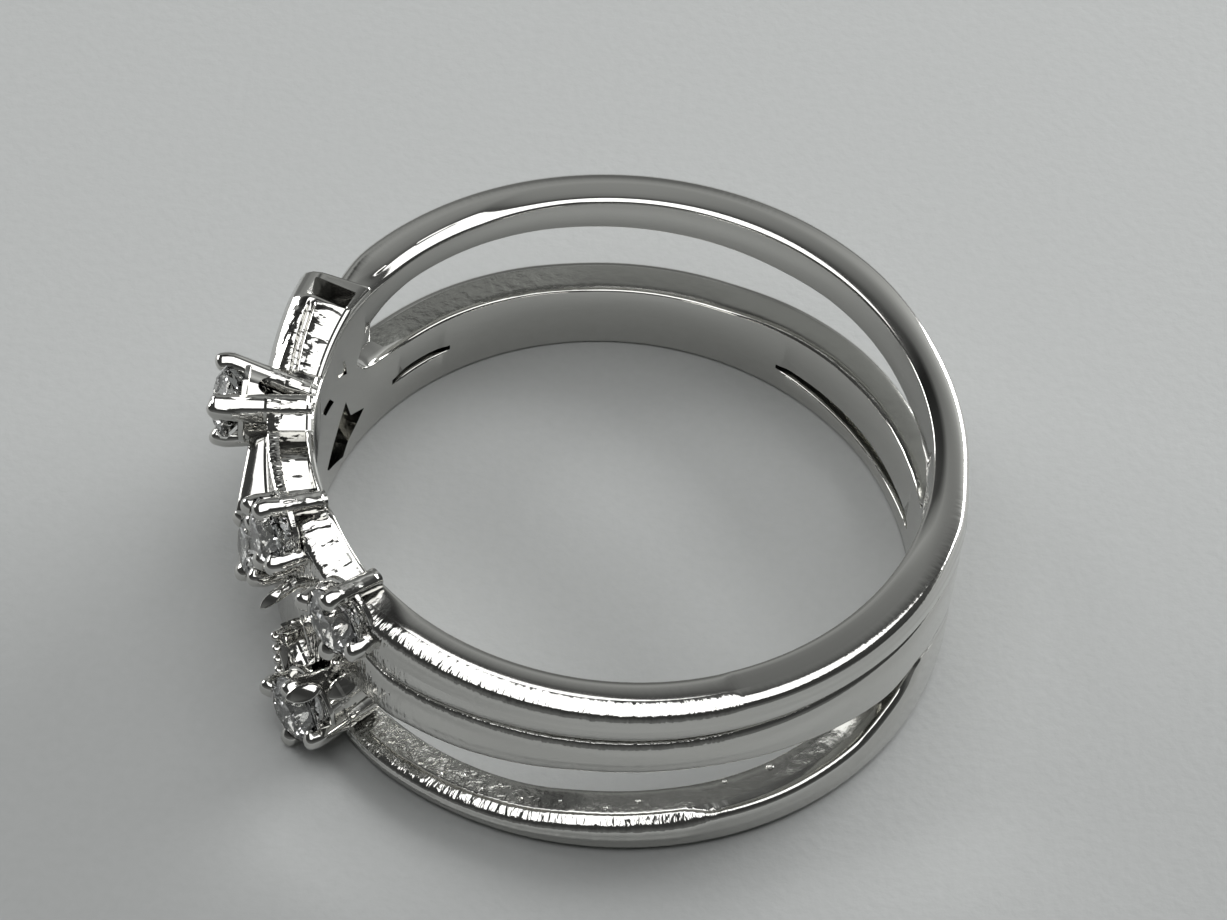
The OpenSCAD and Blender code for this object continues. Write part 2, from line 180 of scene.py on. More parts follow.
# Bend of a prong over its stone: share of that distance, and height against the tips
KNEE = (0.985, -0.16)
TIP = (0.90, 0.0)
# Radius at which the prongs start inside the wall
ROOT_R = BORE_R + 0.12
# Rise of the far setting's arched prong, halfway along its shaft
FAR_ARCH = 0.42
# Short rod over the upper end of the low bar, and thick near prong of the far setting, which runs on over
# the band to the bore. columns: name, both ends as radius, angle and height above the middle plane,
# diameter, power
RODS = [
    ("bar_cap", ((BORE_R + 1, 208, 0.75), (BORE_R + 1.95, 209, 0.45)), 0.34, 0.8),
    ("far_prong", ((ROOT_R, 181.8, 2.88), (11.08, 183.0, 2.93)), 0.68, 0.72),
]
# Number of sides of prongs and rods, length over which their far end is rounded, and least share there
ROD_SIDES = 24
ROUND_L = 0.2
ROUND_MIN = math.sqrt(0.02)

# Rail under the girdle: height, depth below the tips, reach to both sides of the prongs' distance, and power
RAIL_H = 0.2
RAIL_DROP = TIP_H + 0.58
RAIL_OUT = 0.06
RAIL_IN = 0.24
RAIL_POWER = 0.6
# Least height of the cups, which stand under the rails that are well clear of the wall
CUP_MIN = 1.2

# Directions that the flattened tops of rods face, at their roots and at their tips
ROOT_TILT = np.array((0.0, -0.02, 1.0))
TIP_TILT = np.array((0.0, -0.24, 0.97))
# Direction of the tops of cast grains
GRAIN_TILT = np.array((0.0, -0.174, 0.985))
# Direction of flat pads that lean far to the near side, and the direction up across them
PAD_TILT = np.array((0.0, -0.643, 0.766))
PAD_UP = np.array((0.0, 0.766, 0.643))
RIGHT = np.array((1.0, 0.0, 0.0))

# Radius that closes a turned profile next to its axis
AXIS_R = 0.001


def smoothstep(t):
    t = np.clip(t, 0, 1)
    return t * t * (3 - 2 * t)


def gentle(before, after):
    """Slope at a point between two slopes, which keeps a smooth line from overshooting."""
    same = before * after > 0
    return np.where(same, 2 * before * after / np.where(same, before + after, 1), 0)


def curve(rows):
    """A smooth periodic function of the angle through a table's rows, without overshoot."""
    rows = np.array(rows, float)
    x = np.concatenate([rows[:-1, 0] + turn for turn in (-360, 0, 360)])
    y = np.vstack([rows[:-1, 1:]] * 3)
    step = np.diff(x)[:, None]
    slope = np.diff(y, axis=0) / step
    tangent = np.vstack([slope[:1], gentle(slope[:-1], slope[1:]), slope[-1:]])

    def at(angle):
        angle = np.atleast_1d(np.asarray(angle, float))
        k = np.clip(np.searchsorted(x, angle, "right") - 1, 0, len(x) - 2)
        h = step[k]
        t = (angle - x[k])[:, None] / h
        rise = y[k] * (1 + 2 * t) * (1 - t) ** 2 + y[k + 1] * t * t * (3 - 2 * t)
        return rise + h * (tangent[k] * t * (1 - t) ** 2 + tangent[k + 1] * t * t * (t - 1))

    return at


edges_at = curve(EDGES)
outside_at = curve(OUTSIDE)


def cos_sin(degrees):
    return math.cos(math.radians(degrees)), math.sin(math.radians(degrees))


def polar(r, a, z):
    """Point at radius r, angle a in degrees and height z, as an array of the inputs' shape plus three."""
    r, a, z = np.broadcast_arrays(np.asarray(r, float), np.radians(a), np.asarray(z, float))
    return np.stack([r * np.cos(a), r * np.sin(a), z], -1)


def new_object(name, data):
    """A mesh, camera or lamp, linked to the scene."""
    made = bpy.data.objects.new(name, data)
    bpy.context.scene.collection.objects.link(made)
    return made


def make(name, points, faces):
    """A mesh object from points in millimetres."""
    mesh = bpy.data.meshes.new(name)
    mesh.from_pydata([tuple(p) for p in np.asarray(points, float) * MM], [], faces)
    mesh.validate()
    return new_object(name, mesh)


def apply(piece):
    """Replaces a piece's mesh by the result of its modifiers."""
    depsgraph = bpy.context.evaluated_depsgraph_get()
    mesh = bpy.data.meshes.new_from_object(piece.evaluated_get(depsgraph))
    piece.modifiers.clear()
    old, piece.data = piece.data, mesh
    bpy.data.meshes.remove(old)
    return piece


def combine(piece, others, operation):
    """Boolean of a closed piece with other closed ones, which are used up."""
    for other in others:
        tool = piece.modifiers.new(operation, "BOOLEAN")
        tool.operation = operation
        tool.solver = "MANIFOLD"
        tool.object = other
        apply(piece)
        bpy.data.objects.remove(other)
    return piece


def bevel(piece, width):
    """Rounds a piece's sharp edges."""
    tool = piece.modifiers.new("bevel", "BEVEL")
    tool.width = width * MM
    tool.segments = 2
    tool.limit_method = "ANGLE"
    tool.angle_limit = math.radians(30)
    return apply(piece)


def loft(name, sections, closed=False):
    """Skin over sections of the same number of points, each a loop; the ends are capped unless closed."""
    sections = np.asarray(sections, float)
    count, size = sections.shape[:2]
    faces = []
    for s in range(count if closed else count - 1):
        t = (s + 1) % count
        for k in range(size):
            j = (k + 1) % size
            faces.append((s * size + k, t * size + k, t * size + j, s * size + j))
    if not closed:
        faces.append(tuple(range(size)))
        faces.append(tuple(range((count - 1) * size, count * size))[::-1])
    piece = make(name, sections.reshape(-1, 3), faces)
    outward(piece)
    return piece


@contextmanager
def edited(piece):
    """A piece's mesh, open for changes."""
    work = bmesh.new()
    work.from_mesh(piece.data)
    yield work
    work.to_mesh(piece.data)
    work.free()


def outward(piece):
    """Turns all faces outwards."""
    with edited(piece) as work:
        bmesh.ops.recalc_face_normals(work, faces=work.faces)


def squared_circle(sides, power):
    """Widths and heights of points round a unit circle; a power under 1 flattens its four sides."""
    turns = np.arange(sides) * 2 * math.pi / sides
    return [np.sign(part) * np.abs(part) ** power for part in (np.cos(turns), np.sin(turns))]


def tube(name, path, radii, power):
    """Rod along a path, with a radius at each point."""
    along = np.gradient(path, axis=0)
    along /= np.linalg.norm(along, axis=1)[:, None]
    done = np.append(0, np.cumsum(np.linalg.norm(np.diff(path, axis=0), axis=1)))
    wide, high = squared_circle(ROD_SIDES, power)
    sections = []
    for point, ahead, radius, share in zip(path, along, radii, done / done[-1]):
        side = np.cross(ahead, ROOT_TILT * (1 - share) + TIP_TILT * share)
        side /= np.linalg.norm(side)
        up = np.cross(ahead, side)
        sections.append(point + radius * (wide[:, None] * side + high[:, None] * up))
    return loft(name, sections)


def facing(a, point):
    """From a setting's frame to the ring's: x down, y along the band, z away from the bore's axis."""
    x, y, z = np.moveaxis(np.asarray(point, float), -1, 0)
    c, s = cos_sin(a)
    return np.stack([z * c - y * s, z * s + y * c, MID_Z - x], -1)


def at_tips(setting, point):
    """From the frame at a setting's tips, with z along the stone's axis, to the ring's."""
    x, y, z = np.moveaxis(np.asarray(point, float), -1, 0)
    c, s = cos_sin(setting.lean)
    upright = np.stack([x * c + z * s - setting.height, y, z * c - x * s + setting.radius], -1)
    return facing(setting.angle, upright)


def lathe(name, setting, profile, sides=48):
    """Closed profile of radius and height turned about a setting's axis."""
    turns = np.arange(sides) * 2 * math.pi / sides
    loops = [[(r * math.cos(t), r * math.sin(t), z) for r, z in profile] for t in turns]
    return loft(name, at_tips(setting, np.array(loops)), closed=True)


# Bands: one closed mesh of sections round the ring

# Degrees between sections, and degrees over which an opening's edges turn into a groove's at its ends
STEP_A = 1.0
RAMP_A = 4.0


def refine(rows):
    """Rows with one more between each two, on a smooth line without overshoot."""
    rows = np.array(rows, float)
    step = np.diff(rows, axis=0)
    tangent = np.vstack([step[:1], gentle(step[:-1], step[1:]), step[-1:]])
    fine = np.repeat(rows, 2, axis=0)[:-1]
    fine[1::2] = (rows[:-1] + rows[1:]) / 2 + (tangent[:-1] - tangent[1:]) / 8
    return fine


# Half of a band's section at an edge, from the bore outwards: share of the wall and drop from the edge.
# The first WALL_ROWS points are the edge's own face and the others the side below it. In order: rounded rim,
# inward slope, dished top, outward slope, slanted plane, cut face of an opening, and cut face with a bevel.
WALL_ROWS = 13
RIM_FORM = refine([
    (0, 0.16), (0.012, 0.09), (0.03, 0.05), (0.06, 0.02), (0.10, 0.005), (0.30, 0), (0.60, 0),
    (0.72, 0.008), (0.80, 0.03), (0.86, 0.065), (0.93, 0.16), (0.98, 0.36), (0.99, 0.70)])
FAR_FORM = refine([
    (0, 0.26), (0.02, 0.18), (0.06, 0.125), (0.12, 0.088), (0.19, 0.055), (0.26, 0.030), (0.34, 0.012),
    (0.44, 0.002), (0.60, 0), (0.78, 0.022), (0.90, 0.085), (0.98, 0.36), (0.99, 0.70)])
DISHED_FORM = refine([
    (0, 0.14), (0.015, 0.105), (0.04, 0.088), (0.10, 0.068), (0.20, 0.042), (0.30, 0.020),
    (0.40, 0.006), (0.52, 0), (0.66, 0.006), (0.78, 0.03), (0.88, 0.08), (0.97, 0.36), (0.99, 0.70)])
SLOPED_FORM = refine([
    (0, 0.20), (0.015, 0.12), (0.05, 0.064), (0.12, 0.032), (0.22, 0.020), (0.34, 0.016), (0.44, 0.022),
    (0.54, 0.038), (0.64, 0.062), (0.76, 0.110), (0.86, 0.170), (0.97, 0.42), (0.99, 0.75)])
PLANE_FORM = refine([
    (0, 0.16), (0.015, 0.09), (0.04, 0.048), (0.08, 0.034), (0.16, 0.040), (0.30, 0.066), (0.46, 0.098),
    (0.60, 0.126), (0.74, 0.156), (0.84, 0.186), (0.92, 0.235), (0.98, 0.42), (0.99, 0.75)])
CUT_FORM = refine([
    (0, 0.14), (0.015, 0.085), (0.045, 0.052), (0.09, 0.030), (0.15, 0.011), (0.24, 0.001), (0.72, 0),
    (0.80, 0.012), (0.86, 0.04), (0.91, 0.09), (0.95, 0.17), (0.98, 0.33), (0.99, 0.58)])
BEVEL_FORM = refine([
    (0, 0.12), (0.015, 0.06), (0.045, 0.03), (0.09, 0.012), (0.15, 0.003), (0.40, 0), (0.60, 0.010),
    (0.68, 0.060), (0.74, 0.122), (0.80, 0.185), (0.86, 0.25), (0.95, 0.42), (0.99, 0.72)])
# Side of a groove: share of the rise from its bottom to the crown, and drop
GROOVE_FORM = refine([
    (0, 0), (0.30, 0.03), (0.52, 0.09), (0.70, 0.17), (0.85, 0.29), (0.96, 0.46), (1, 0.72)])[1:]
# Points up the middle of a band's outside, as shares of the way between its two edge forms
MIDDLE = [0.25, 0.5, 0.75]
ROWS = 2 * len(RIM_FORM) + len(MIDDLE)
# Largest share of a band's height that one edge form takes
EDGE_SHARE = 0.46
# Depth of the dents in cast faces, and noise up to which there are none
DENT_H = 0.024
DENT_FROM = 0.3


def free_share(angle, joint):
    """1 where the opening at that joint is fully open, 0 where the bands are joined."""
    share = np.zeros_like(angle)
    for first, last, which in GAPS:
        if which == joint:
            share = np.maximum(share, smoothstep(np.minimum(angle - first, last - angle) / RAMP_A))
    return share


def groove_form(groove):
    """Edge form where two bands are joined; groove is the share of the wall at the groove's bottom."""
    wall = groove[:, None] * CUT_FORM[:WALL_ROWS, 0] / CUT_FORM[WALL_ROWS - 1, 0]
    side = groove[:, None] + (1 - groove[:, None]) * GROOVE_FORM[:, 0]
    drop = np.concatenate([np.zeros(WALL_ROWS), GROOVE_FORM[:, 1]])
    return np.hstack([wall, side]), np.broadcast_to(drop, (len(groove), len(drop)))


def band_points():
    """Points of every section: three bands, each a loop from its low inner corner round its outside."""
    angle = np.arange(0, 360, STEP_A)
    edge, out = edges_at(angle), outside_at(angle)
    height = [np.zeros_like(angle), *(MID_Z + edge.T)]
    thick = RIM_T * out[:, WALL] + DOME_H * out[:, DOME]
    joined_share, joined_drop = groove_form(1 - GROOVE_H * out[:, GROOVE] / thick)
    dice = np.random.default_rng(5)

    def dents():
        """Drops of the cast faces' dents, for every section and point of an edge."""
        noise = dice.uniform(0, 1, (len(angle), len(CUT_FORM)))
        for axis in (0, 1):
            noise = 0.5 * noise + 0.25 * (np.roll(noise, 1, axis) + np.roll(noise, -1, axis))
        drop = (noise - DENT_FROM) * DENT_H * out[:, ROUGH, None]
        drop[:, WALL_ROWS + 1:] = 0
        return np.maximum(drop, 0)

    def form(joint, upper):
        """Shares of the wall and drops from the edge, for every section."""
        if joint < 0 or joint > 1:
            near, far, plane, dish = (out[:, column, None, None] * float(upper)
                                      for column in (NEAR_SLOPE, FAR_SLOPE, PLANE, DISH))
            blend = RIM_FORM * (1 - near - far - plane - dish) + SLOPED_FORM * near + FAR_FORM * far
            blend = blend + PLANE_FORM * plane + DISHED_FORM * dish
            return blend[..., 0], blend[..., 1]
        free = free_share(angle, joint)[:, None]
        bevelled = out[:, BEVEL, None, None] * float(upper and joint == 0)
        blend = CUT_FORM * (1 - bevelled) + BEVEL_FORM * bevelled
        return (blend[..., 0] * free + joined_share * (1 - free),
                (blend[..., 1] + dents()) * free + joined_drop * (1 - free))

    rows = []
    for b in range(3):
        low, high = height[2 * b], height[2 * b + 1]
        fit = np.minimum(1, EDGE_SHARE * (high - low) / GROOVE_FORM[-1, 1])[:, None]
        low_share, low_drop = form(b - 1, False)
        high_share, high_drop = form(b, True)
        low_z = low[:, None] + low_drop * fit
        high_z = high[:, None] - high_drop * fit
        for k in range(len(RIM_FORM)):
            rows.append(polar(BORE_R + thick * low_share[:, k], angle, low_z[:, k]))
        for t in MIDDLE:
            rows.append(polar(BORE_R + thick, angle, low_z[:, -1] * (1 - t) + high_z[:, -1] * t))
        for k in reversed(range(len(RIM_FORM))):
            rows.append(polar(BORE_R + thick * high_share[:, k], angle, high_z[:, k]))
    return np.stack(rows, 1)


def band_faces(count):
    """Faces between sections, side walls of the openings, and the walls at their ends."""
    opened = {0: set(), 1: set()}
    for first, last, joint in GAPS:
        opened[joint].update(range(round(first / STEP_A), round(last / STEP_A)))
    faces = []
    low_out, high_out = WALL_ROWS - 1, ROWS - WALL_ROWS

    def index(s, b, k):
        return (s % count) * 3 * ROWS + b * ROWS + k

    def strip(s, p, q):
        faces.append((index(s, *p), index(s + 1, *p), index(s + 1, *q), index(s, *q)))

    for s in range(count):
        for b in range(3):
            first = 0 if b == 0 or s in opened[b - 1] else low_out
            last = ROWS - 1 if b == 2 or s in opened[b] else high_out
            for k in range(first, last):
                strip(s, (b, k), (b, k + 1))
            strip(s, (b, ROWS - 1), (b, 0))
            if last == high_out:
                strip(s, (b, high_out), (b + 1, low_out))
                strip(s, (b + 1, 0), (b, ROWS - 1))
    for first, last, joint in GAPS:
        for angle in (first, last):
            s = round(angle / STEP_A)
            lower = [index(s, joint, k) for k in range(high_out, ROWS)]
            upper = [index(s, joint + 1, k) for k in range(WALL_ROWS)]
            faces.append(tuple(lower + upper))
    return faces


def slot(depth, middle, outline):
    """Cutter of an opening in the head's inner wall."""
    loop = [(-z, BORE_R * math.sin(math.radians(a - middle))) for a, z in outline]
    return loft("slot", [[facing(middle, (x, y, r)) for x, y in loop] for r in (SLOT_IN, BORE_R + depth)])


def bands():
    """The three bands as one closed mesh, with the slots cut into the head's wall."""
    points = band_points()
    piece = make("silver_ring", points.reshape(-1, 3), band_faces(len(points)))
    with edited(piece) as work:
        unused = [v for v in work.verts if not v.link_faces]
        bmesh.ops.delete(work, geom=unused, context="VERTS")
    outward(piece)
    return combine(piece, [slot(*row) for row in SLOTS], "DIFFERENCE")


# Settings

def round_end(path):
    """Shares of a rod's radius along its path, which round off its far end."""
    to_end = np.linalg.norm(path - path[-1], axis=1)
    return np.maximum(np.sqrt(1 - (1 - np.clip(to_end / ROUND_L, 0, 1)) ** 2), ROUND_MIN)


def rod(name, ends, diameter, power):
    """Straight rod whose far end is rounded."""
    start, end = (polar(r, a, MID_Z + z) for r, a, z in ends)
    shares = np.append(np.linspace(0, 0.85, 6), np.linspace(0.86, 1, 12))
    path = np.array([start + (end - start) * t for t in shares])
    return tube(name, path, diameter / 2 * round_end(path), power)


def prong(setting, turn, arch):
    """Prong from the wall to its tip, which bends over the stone; arch lifts the middle of its shaft."""
    y, x = PRONG_AT * np.array(cos_sin(turn))
    root = facing(setting.angle, (-setting.root_height - setting.spread * x, setting.spread * y, ROOT_R))
    girdle = at_tips(setting, (-x, y, -TIP_H))
    knee, tip = (at_tips(setting, (-x * share, y * share, height)) for share, height in (KNEE, TIP))
    shaft = [root + (girdle - root) * t + (0, 0, arch * math.sin(math.pi * t))
             for t in np.linspace(0, 1, 12)]
    bend = [(1 - t) ** 2 * girdle + 2 * t * (1 - t) * knee + t * t * tip for t in np.linspace(0, 1, 13)[1:]]
    path = np.array(shaft + bend)
    return tube("prong", path, PRONG_D / 2 * round_end(path), PRONG_POWER)


def rail(setting):
    """Rounded ring under the girdle."""
    outer, inner = PRONG_AT + RAIL_OUT, PRONG_AT - RAIL_IN
    middle, half = (outer + inner) / 2, (outer - inner) / 2
    profile = [(middle + half * wide, RAIL_H / 2 * (1 + high) - RAIL_DROP)
               for wide, high in zip(*squared_circle(12, RAIL_POWER))]
    return lathe("rail", setting, profile)


# Oval hollow in a cup: distance from the bore's axis, offsets along PAD_UP and PAD_TILT, half length,
# half width and half depth
HOLLOW = (9.1, 0.48, 0.50, 0.76, 0.33, 0.95)


def hollow(setting):
    """Oval room that reaches deep into a setting's cup."""
    radius, rise, near, long, wide, deep = HOLLOW
    middle = facing(setting.angle, (-setting.height, 0, radius)) + rise * PAD_UP + near * PAD_TILT
    axes = np.column_stack([RIGHT * long, PAD_UP * wide, PAD_TILT * deep])
    piece = make("hollow", [], [])
    with edited(piece) as work:
        bmesh.ops.create_icosphere(work, subdivisions=3, radius=MM)
    piece.data.transform(Matrix.Translation(Vector(middle) * MM) @ Matrix(axes.tolist()).to_4x4())
    outward(piece)
    return piece


def cups(setting):
    """Hollowed cup under the rail, where a setting stands clear of the wall; otherwise none."""
    tall = setting.radius - RAIL_DROP - BORE_R
    if tall < CUP_MIN:
        return []
    top = RAIL_H / 2 - RAIL_DROP
    profile = [(AXIS_R, top - tall), (PRONG_AT * setting.spread, top - tall), (PRONG_AT, top), (AXIS_R, top)]
    return [combine(lathe("cup", setting, profile), [hollow(setting)], "DIFFERENCE")]


def seat(setting):
    """Room for a stone, open above its table."""
    side, table = STONE_R + SEAT_GAP, STONE_R * TABLE_SHARE + SEAT_GAP
    low, shoulder, over = -PAVILION_H - 2 * SEAT_GAP, GIRDLE_H + SEAT_GAP, STONE_D
    profile = [(AXIS_R, low), (side, -SEAT_GAP), (side, shoulder), (table, shoulder + CROWN_H),
               (table, over), (AXIS_R, over)]
    return lathe("seat", setting, [(r, z - TIP_H) for r, z in profile], sides=64)


# Bars of the head

# Radius at which the bars start inside the wall, and height over everything, up to which rooms are cut
WALL_IN = BORE_R + 0.04
OVER_ALL = 7
# Box bar at the far end of the head: angles of its first section and of BOX_OUTER, and span; outer face there
# and shift inwards by the sine of the angle beyond; bottom, its edge and top
BOX_START_A = 151.5
BOX_A = 152.5
BOX_SPAN = 20.8
BOX_OUTER = BORE_R + 2.1
BOX_SHIFT = 1.3
BOX_LOW = MID_Z + 0.9
BOX_LOW_EDGE = 0.2
BOX_TOP = RING_W + 0.1
# Ridge across the top, slope beyond it and radius at which that is measured
BOX_RIDGE_A = 158.3
BOX_FALL = 0.22
BOX_FALL_R = 9
# Groove along the top beyond the ridge, and the degrees in which it reaches its depth
BOX_GROOVE = 0.14
BOX_GROOVE_A = 1.5
# The top from the outer face inwards. columns: distance from that face, drop, share of the groove
BOX_FORM = [(0, 0.85, 0), (0.05, 0.5, 0), (0.2, 0.2, 0), (0.42, 0.06, 0), (0.68, 0, 0), (0.75, 0, 1),
            (0.86, 0, 1), (0.93, 0, 0)]
# and at the wall. columns: distance from WALL_IN, drop
BOX_INNER_FORM = [(0.3, -0.01), (0.06, 0.01), (0, 0.08)]
# Turn of the end wall, in degrees for each millimetre outwards from SKEW_R
BOX_SKEW = 1.34
SKEW_R = 8.73
# Notch behind the end wall: corners of its mouth and its lowest point, as radius and angle, and its depth
PIT = [(9.80, 154.2), (8.50, 153.6), (8.45, 158.1), (9.72, 158.0)]
PIT_LOW = (9.25, 154.1)
PIT_H = 0.6
# Its two rooms: size against the mouth, and depth; and the height of their mouths over the bar's top
PIT_ROOMS = [(1.15, PIT_H), (1.07, 0.04)]
PIT_OVER = 0.02
# Bar between the far and the upper setting, and floor of its recess. columns: angle, height
LINK_TOP = [(184.0, 6.06), (184.6, 6.05), (187.2, 5.88), (187.6, 5.97), (204.0, 6.03)]
RECESS = [(187.8, 5.58), (189.4, 5.62), (192.6, 5.76), (193.4, 5.73), (202.0, 5.36)]
LINK_LOW = MID_Z + 1.2
LINK_OUT = BORE_R + 1.25
# Height of its two top edges, and width of the outer one; the inner one is as wide as high
LINK_EDGE_H = 0.05
LINK_EDGE_W = 0.07
# Sides of the recess: inner and outer radius and lean, height up to which they stand, and flare above it
RECESS_IN = BORE_R + 0.20
RECESS_OUT = BORE_R + 0.93
RECESS_LEAN = 0.03
RECESS_TOP = RING_W - 0.03
FLARE = 0.06


def box_bar():
    """Box bar at the far end of the head, with a thin end wall and a top that falls from the ridge."""
    sections = []
    for share in np.linspace(0, 1, 41):
        a = BOX_START_A + BOX_SPAN * share
        skew = BOX_SKEW * (1 - share) ** 3
        outer = BOX_OUTER - BOX_SHIFT * math.sin(math.radians(a - BOX_A))
        top = BOX_TOP - BOX_FALL * BOX_FALL_R * math.radians(max(0, a - BOX_RIDGE_A))
        groove = BOX_GROOVE * float(smoothstep((a - BOX_RIDGE_A) / BOX_GROOVE_A))
        profile = [(WALL_IN, BOX_LOW), (outer - BOX_LOW_EDGE, BOX_LOW), (outer, BOX_LOW + BOX_LOW_EDGE)]
        profile += [(outer - inset, top - drop - groove * deep) for inset, drop, deep in BOX_FORM]
        profile += [(WALL_IN + inset, top - drop) for inset, drop in BOX_INNER_FORM]
        sections.append([polar(r, a + skew * (r - SKEW_R), z) for r, z in profile])
    return bevel(loft("box_bar", sections), width=0.03)


def pit():
    """Room of the notch behind the end wall: a pyramid on its tip, and a flat one that widens its mouth."""
    low = polar(*PIT_LOW, BOX_TOP - PIT_H)
    pieces = []
    for size, depth in PIT_ROOMS:
        tip = low + (0, 0, PIT_H - depth)
        corners = [low + (0, 0, PIT_OVER) + size * (polar(r, a, BOX_TOP) - low) for r, a in PIT]
        piece = make("pit", [*corners, tip], [(0, 1, 2, 3), (1, 0, 4), (2, 1, 4), (3, 2, 4), (0, 3, 4)])
        outward(piece)
        pieces.append(piece)
    return pieces


def sweep(name, heights, count, profile_at):
    """Sections at equal turns along a table of heights, each with the profile for its height."""
    sections = []
    for a in np.linspace(heights[0][0], heights[-1][0], count):
        profile = profile_at(np.interp(a, *zip(*heights)))
        sections.append([polar(r, a, z) for r, z in profile])
    return loft(name, sections)


def link_bar():
    """Bar between the far and the upper setting."""
    return sweep("link_bar", LINK_TOP, 41, lambda top: [
        (WALL_IN, LINK_LOW), (LINK_OUT, LINK_LOW), (LINK_OUT, top - LINK_EDGE_H),
        (LINK_OUT - LINK_EDGE_W, top), (WALL_IN + LINK_EDGE_H, top), (WALL_IN, top - LINK_EDGE_H)])


def recess():
    """Room of the recess in that bar, with a ridge across its floor and sides that open at the top."""
    return sweep("recess", RECESS, 49, lambda low: [
        (RECESS_IN + RECESS_LEAN, low), (RECESS_OUT - RECESS_LEAN, low), (RECESS_OUT, RECESS_TOP),
        (RECESS_OUT + FLARE, RECESS_TOP + FLARE), (RECESS_OUT + FLARE, OVER_ALL),
        (RECESS_IN - FLARE, OVER_ALL), (RECESS_IN - FLARE, RECESS_TOP + FLARE), (RECESS_IN, RECESS_TOP)])


# Slanting bars. Both ends: angle, height above the middle plane, radius; then half width of the top at both
# ends, and depth
SLANT_BARS = {
    "far": ((181.0, 1.90, 9.95), (194.0, 1.00, 10.40), (0.15, 0.15), 1.2),
    "low": ((208.0, -0.94, 9.80), (215.4, -1.62, 9.80), (0.02, 0.16), 1.2),
    # Plain bar behind the low one, up to its cap
    "back": ((205.5, 0.35, 9.40), (213.5, -1.45, 9.40), (0.22, 0.30), 1.0),
    # Widening bar between the low one and the row of beads
    "wedge": ((209.3, -0.85, 10.10), (213.6, -1.80, 10.10), (0.02, 0.14), 1.2),
    # Narrow bar that carries the row of beads
    "bead": ((210.5, -0.66, 10.07), (212.0, -2.08, 10.07), (0.02, 0.02), 1.2),
}
# Slope at both sides of their tops: width and height
SLOPE_W = 0.12
SLOPE_H = 0.22


def slant_bar(start, end, widths, depth):
    """Bar with sloped edges between two points of angle, height and radius."""
    p, q = (polar(r, a, MID_Z + z) for a, z, r in (start, end))
    ahead = (q - p) / np.linalg.norm(q - p)
    out = np.array([*cos_sin((start[0] + end[0]) / 2), 0])
    out = out - ahead * (out @ ahead)
    out /= np.linalg.norm(out)
    across = np.cross(out, ahead)
    sections = []
    for share in np.linspace(0, 1, 9):
        top = widths[0] + (widths[1] - widths[0]) * share
        foot = top + SLOPE_W
        profile = [(-foot, -depth), (foot, -depth), (foot, -SLOPE_H), (top, 0), (-top, 0), (-foot, -SLOPE_H)]
        sections.append([p + (q - p) * share + across * x + out * z for x, z in profile])
    return bevel(loft("slant_bar", sections), width=0.04)


# Row of beads beside the low bar, and its places; small beads along the low bar's near edge, their offset
# from its line and their depth in it
BEAD_ROW = ((210.6, -0.76, 10.10), (211.9, -1.98, 10.10))
BEAD_SHARES = (0, 0.36, 0.68, 1)
BEAD_R = 0.135
SMALL_BEAD_SHARES = (0.3, 0.5, 0.7, 0.92)
SMALL_BEAD_R = 0.075
SMALL_BEAD_AT = (0.06, -0.10, 0.05)
SMALL_BEAD_SINK = 0.03
# Section of a low round button: share of its radius, and height over its base in radii
BUTTON = [(1.0, -0.9), (1.0, 0.0), (0.94, 0.28), (0.80, 0.44), (0.55, 0.52), (0.25, 0.55)]


def along_bar(bar, share, lower=0.0):
    """Point on a bar's line, lowered towards the bore."""
    a, z, r = np.array(bar[0]) * (1 - share) + np.array(bar[1]) * share
    return polar(r - lower, a, MID_Z + z)


def button(point, radius, up):
    """Low round button with a nearly flat top."""
    across = np.cross(up, RIGHT)
    turns = np.arange(16)[:, None] * math.pi / 8
    around = np.cos(turns) * RIGHT + np.sin(turns) * across
    return loft("button", [point + radius * (r * around + h * up) for r, h in BUTTON])


def bar_beads():
    """Beads in a row beside the low bar, and small ones along its near edge."""
    beads = [button(along_bar(BEAD_ROW, share), BEAD_R, TIP_TILT) for share in BEAD_SHARES]
    for share in SMALL_BEAD_SHARES:
        point = along_bar(SLANT_BARS["low"], share, SMALL_BEAD_SINK) + SMALL_BEAD_AT
        beads.append(button(point, SMALL_BEAD_R, TIP_TILT))
    return beads


# Leaf-shaped pads with flat tops that lean to the near side. columns: angle, height above the middle plane,
# radius, length, width, turn from level, rise of the top
PADS = [(221.6, -0.80, 10.30, 0.98, 0.50, 23, 0.60), (223.7, -0.94, 9.30, 1.00, 0.56, 40, 0.40),
        (210.3, 0.83, 10.20, 0.78, 0.30, 46, 0.10)]
# Section of a pad from its base up: share of its outline, and height against the top
PAD_FORM = [(1.0, -0.85), (1.0, -0.06), (0.96, -0.02), (0.88, 0.0)]
# Power of the sine that makes the ends of a pad pointed
PAD_POWER = 1.3


def pad(a, z, r, long, wide, turn, top):
    """Leaf-shaped block with a flat top."""
    c, s = cos_sin(turn)
    turns = np.arange(32)[:, None] * math.pi / 16
    aside = np.sign(np.sin(turns)) * np.abs(np.sin(turns)) ** PAD_POWER
    outline = (np.cos(turns) * long / 2 * (c * RIGHT + s * PAD_UP)
               + aside * wide / 2 * (c * PAD_UP - s * RIGHT))
    middle = polar(r, a, MID_Z + z)
    return loft("pad", [middle + share * outline + (top + height) * PAD_TILT for share, height in PAD_FORM])


